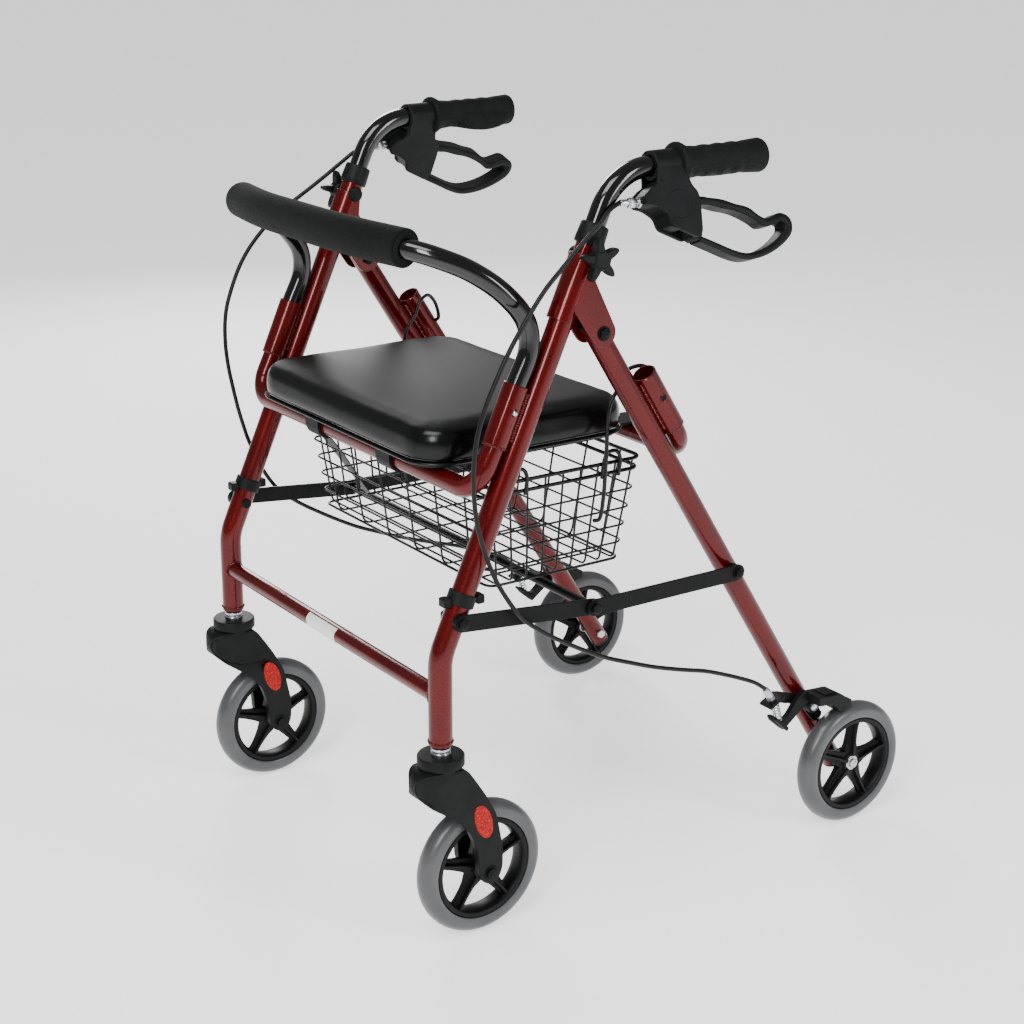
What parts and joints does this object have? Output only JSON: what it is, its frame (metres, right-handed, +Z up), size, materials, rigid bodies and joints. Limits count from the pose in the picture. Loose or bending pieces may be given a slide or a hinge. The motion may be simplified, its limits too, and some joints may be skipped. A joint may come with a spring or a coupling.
{
  "type": "rollator walker",
  "caption": "Folding four-wheeled walking frame with a padded seat, backrest bar, wire basket, swivelling front wheels, height-adjustable handles and cable brakes.",
  "frame": {"origin": "floor level under the middle of the bounding box", "axes": "+Z up, travel towards -Y with the user at +Y, +X the user's left hand when seated facing +Y and the right hand when walking"},
  "size_m": [0.568, 0.67, 0.83],
  "materials": {
    "frame_paint": "deep metallic red gloss paint on steel tube",
    "black_tube": "gloss black powder coat on tube",
    "black_steel": "satin black plated steel",
    "wire": "black dip-coated wire",
    "moulded_plastic": "fine-grained black moulded plastic",
    "rim_plastic": "black moulded plastic",
    "tyre": "smooth grey soft tyre",
    "grip_rubber": "textured black rubber",
    "foam": "matt black closed-cell foam",
    "vinyl": "black satin vinyl over foam",
    "bright_steel": "zinc plated steel",
    "webbing": "black woven webbing",
    "coated_cable": "black plastic outer sleeve"
  },
  "bodies": {
    "front_frame": {"front_cross_tube": "frame_paint", "front_seat_tube": "frame_paint", "basket": "wire", "limit_strap": "webbing", "front_leg_left": "frame_paint", "front_leg_right": "frame_paint", "collar_left": "moulded_plastic", "collar_right": "moulded_plastic", "cable_clip_left": "moulded_plastic", "cable_clip_right": "moulded_plastic", "pivot_bolt_left": "bright_steel", "pivot_bolt_right": "bright_steel", "front_link_bolt_left": "black_steel", "front_link_bolt_right": "black_steel"},
    "rear_frame": {"rear_seat_tube": "frame_paint", "rear_leg_left": "frame_paint", "rear_leg_right": "frame_paint", "rear_axle_left": "bright_steel", "rear_axle_right": "bright_steel", "brake_bracket_left": "black_steel", "brake_bracket_right": "black_steel", "rear_link_bolt_left": "black_steel", "rear_link_bolt_right": "black_steel", "cable_lower_left": "coated_cable", "cable_lower_right": "coated_cable"},
    "front_links": {"cross_rod": "black_steel", "front_link_left": "black_steel", "front_link_right": "black_steel"},
    "rear_links": {"rear_link_left": "black_steel", "rear_link_right": "black_steel"},
    "seat": {"seat_pad": "vinyl", "seat_base": "moulded_plastic"},
    "backrest": {"backrest_tube": "black_tube", "backrest_foam": "foam"},
    "caster_left": {"caster_fork_left": "moulded_plastic"},
    "front_wheel_left": {"front_rim_left": "rim_plastic", "front_tyre_left": "tyre"},
    "rear_wheel_left": {"rear_rim_left": "rim_plastic", "rear_tyre_left": "tyre"},
    "handle_left": {"handle_post_left": "black_tube", "grip_left": "grip_rubber", "brake_housing_left": "moulded_plastic", "cable_upper_left": "coated_cable"},
    "lever_left": {"brake_lever_left": "moulded_plastic"},
    "knob_left": {"height_knob_left": "moulded_plastic"},
    "button_left": {"snap_button_left": "bright_steel"},
    "brake_left": {"brake_arm_left": "moulded_plastic"},
    "caster_right": {"caster_fork_right": "moulded_plastic"},
    "front_wheel_right": {"front_rim_right": "rim_plastic", "front_tyre_right": "tyre"},
    "rear_wheel_right": {"rear_rim_right": "rim_plastic", "rear_tyre_right": "tyre"},
    "handle_right": {"handle_post_right": "black_tube", "grip_right": "grip_rubber", "brake_housing_right": "moulded_plastic", "cable_upper_right": "coated_cable"},
    "lever_right": {"brake_lever_right": "moulded_plastic"},
    "knob_right": {"height_knob_right": "moulded_plastic"},
    "button_right": {"snap_button_right": "bright_steel"},
    "brake_right": {"brake_arm_right": "moulded_plastic"}
  },
  "joints": [
    {"name": "fold", "type": "hinge", "parent": "front_frame", "child": "rear_frame", "pos_m": [0, -0.107, 0.645], "axis": [-1, 0, 0], "range_deg": [0, 34], "deforming": ["basket", "limit_strap", "cable_lower_left", "cable_lower_right"]},
    {"name": "front_link_pivot", "type": "hinge", "parent": "front_frame", "child": "front_links", "pos_m": [0, -0.2815, 0.366], "axis": [1, 0, 0], "range_deg": [0, 51.8]},
    {"name": "rear_link_pivot", "type": "hinge", "parent": "rear_frame", "child": "rear_links", "pos_m": [0, 0.084, 0.348], "axis": [-1, 0, 0], "range_deg": [0, 41]},
    {"name": "seat_flip", "type": "hinge", "parent": "front_frame", "child": "seat", "pos_m": [0, -0.2537, 0.496], "axis": [1, 0, 0], "range_deg": [0, 75]},
    {"name": "backrest_lift", "type": "slide", "parent": "front_frame", "child": "backrest", "axis": [0, 0.4055, 0.9141], "range_m": [0, 0.06], "deforming": ["snap_button_left", "snap_button_right"]},
    {"name": "caster_swivel_left", "type": "hinge", "parent": "front_frame", "child": "caster_left", "pos_m": [0.235, -0.298, 0], "axis": [0, 0, 1], "continuous": true},
    {"name": "front_wheel_spin_left", "type": "hinge", "parent": "caster_left", "child": "front_wheel_left", "pos_m": [0.235, -0.251, 0.076], "axis": [1, 0, 0], "continuous": true},
    {"name": "rear_wheel_spin_left", "type": "hinge", "parent": "rear_frame", "child": "rear_wheel_left", "pos_m": [0.2705, 0.259, 0.076], "axis": [1, 0, 0], "continuous": true},
    {"name": "handle_height_left", "type": "slide", "parent": "front_frame", "child": "handle_left", "axis": [0, 0.4055, 0.9141], "range_m": [-0.015, 0.08], "deforming": ["cable_upper_left"]},
    {"name": "lever_squeeze_left", "type": "hinge", "parent": "handle_left", "child": "lever_left", "pos_m": [0.2496, -0.0061, 0.76788], "axis": [0.9397, 0, 0.342], "range_deg": [0, 15], "stiffness_Nm_per_rad": 4, "springref_deg": -5.73},
    {"name": "knob_turn_left", "type": "hinge", "parent": "front_frame", "child": "knob_left", "pos_m": [0.256, -0.12187, 0.724], "axis": [1, 0, 0], "continuous": true},
    {"name": "button_press_left", "type": "slide", "parent": "backrest", "child": "button_left", "axis": [-1, 0, 0], "range_m": [0, 0.003], "stiffness_N_per_m": 300, "springref_m": -0.001},
    {"name": "brake_arm_left", "type": "hinge", "parent": "rear_frame", "child": "brake_left", "pos_m": [0.255, 0.208, 0.156], "axis": [-1, 0, 0], "range_deg": [0, 2.11]},
    {"name": "caster_swivel_right", "type": "hinge", "parent": "front_frame", "child": "caster_right", "pos_m": [-0.235, -0.298, 0], "axis": [0, 0, 1], "continuous": true},
    {"name": "front_wheel_spin_right", "type": "hinge", "parent": "caster_right", "child": "front_wheel_right", "pos_m": [-0.235, -0.251, 0.076], "axis": [1, 0, 0], "continuous": true},
    {"name": "rear_wheel_spin_right", "type": "hinge", "parent": "rear_frame", "child": "rear_wheel_right", "pos_m": [-0.2705, 0.259, 0.076], "axis": [1, 0, 0], "continuous": true},
    {"name": "handle_height_right", "type": "slide", "parent": "front_frame", "child": "handle_right", "axis": [0, 0.4055, 0.9141], "range_m": [-0.015, 0.08], "deforming": ["cable_upper_right"]},
    {"name": "lever_squeeze_right", "type": "hinge", "parent": "handle_right", "child": "lever_right", "pos_m": [-0.2496, -0.0061, 0.76788], "axis": [0.9397, 0, -0.342], "range_deg": [0, 15], "stiffness_Nm_per_rad": 4, "springref_deg": -5.73},
    {"name": "knob_turn_right", "type": "hinge", "parent": "front_frame", "child": "knob_right", "pos_m": [-0.256, -0.12187, 0.724], "axis": [1, 0, 0], "continuous": true},
    {"name": "button_press_right", "type": "slide", "parent": "backrest", "child": "button_right", "axis": [1, 0, 0], "range_m": [0, 0.003], "stiffness_N_per_m": 300, "springref_m": -0.001},
    {"name": "brake_arm_right", "type": "hinge", "parent": "rear_frame", "child": "brake_right", "pos_m": [-0.255, 0.208, 0.156], "axis": [-1, 0, 0], "range_deg": [0, 2.11]}
  ],
  "couplings": [
    {"joint": "front_link_pivot", "follows": "fold", "ratio": 1.5212},
    {"joint": "rear_link_pivot", "follows": "fold", "ratio": 1.205},
    {"joint": "brake_arm_left", "follows": "lever_squeeze_left", "ratio": 0.14},
    {"joint": "brake_arm_right", "follows": "lever_squeeze_right", "ratio": 0.14}
  ]
}
